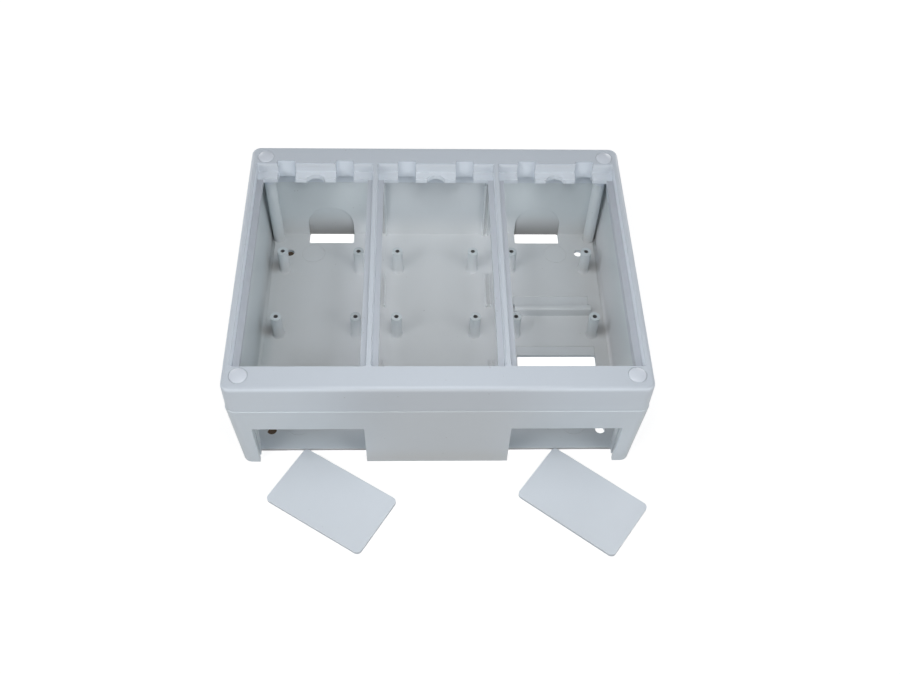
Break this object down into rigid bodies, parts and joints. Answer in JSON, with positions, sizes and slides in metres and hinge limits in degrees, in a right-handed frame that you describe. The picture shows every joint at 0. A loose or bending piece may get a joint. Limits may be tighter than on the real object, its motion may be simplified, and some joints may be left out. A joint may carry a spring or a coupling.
{
  "type": "three window plastic installation housing",
  "caption": "Deep light grey moulded housing: tray with screw bosses and cable slots, screwed cover frame with lid windows and caps, and loose blanking plates for its front openings.",
  "frame": {"origin": "centre of the tray's flat underside, which lies against the wall", "axes": "+X along the housing's long side, +Y towards the wall with the arched cable recesses, +Z out of the windows"},
  "size_m": [0.2846, 0.2951, 0.0963],
  "materials": {
    "tray_plastic": "light grey ABS, fine satin mould texture",
    "cover_plastic": "light grey ABS, fine satin mould texture",
    "plate_plastic": "light grey ABS, fine satin mould texture",
    "cap_plastic": "light grey ABS, smooth satin",
    "screw_steel": "zinc plated steel"
  },
  "bodies": {
    "root": {"base_tray": "tray_plastic", "cover_frame": "cover_plastic", "blanking_plate_left": "plate_plastic", "blanking_plate_right": "plate_plastic", "screw_cap_front_left": "cap_plastic", "screw_cap_back_left": "cap_plastic", "screw_cap_front_right": "cap_plastic", "screw_cap_back_right": "cap_plastic", "cover_screw_front_left": "screw_steel", "cover_screw_back_left": "screw_steel", "cover_screw_front_right": "screw_steel", "cover_screw_back_right": "screw_steel"}
  },
  "joints": []
}
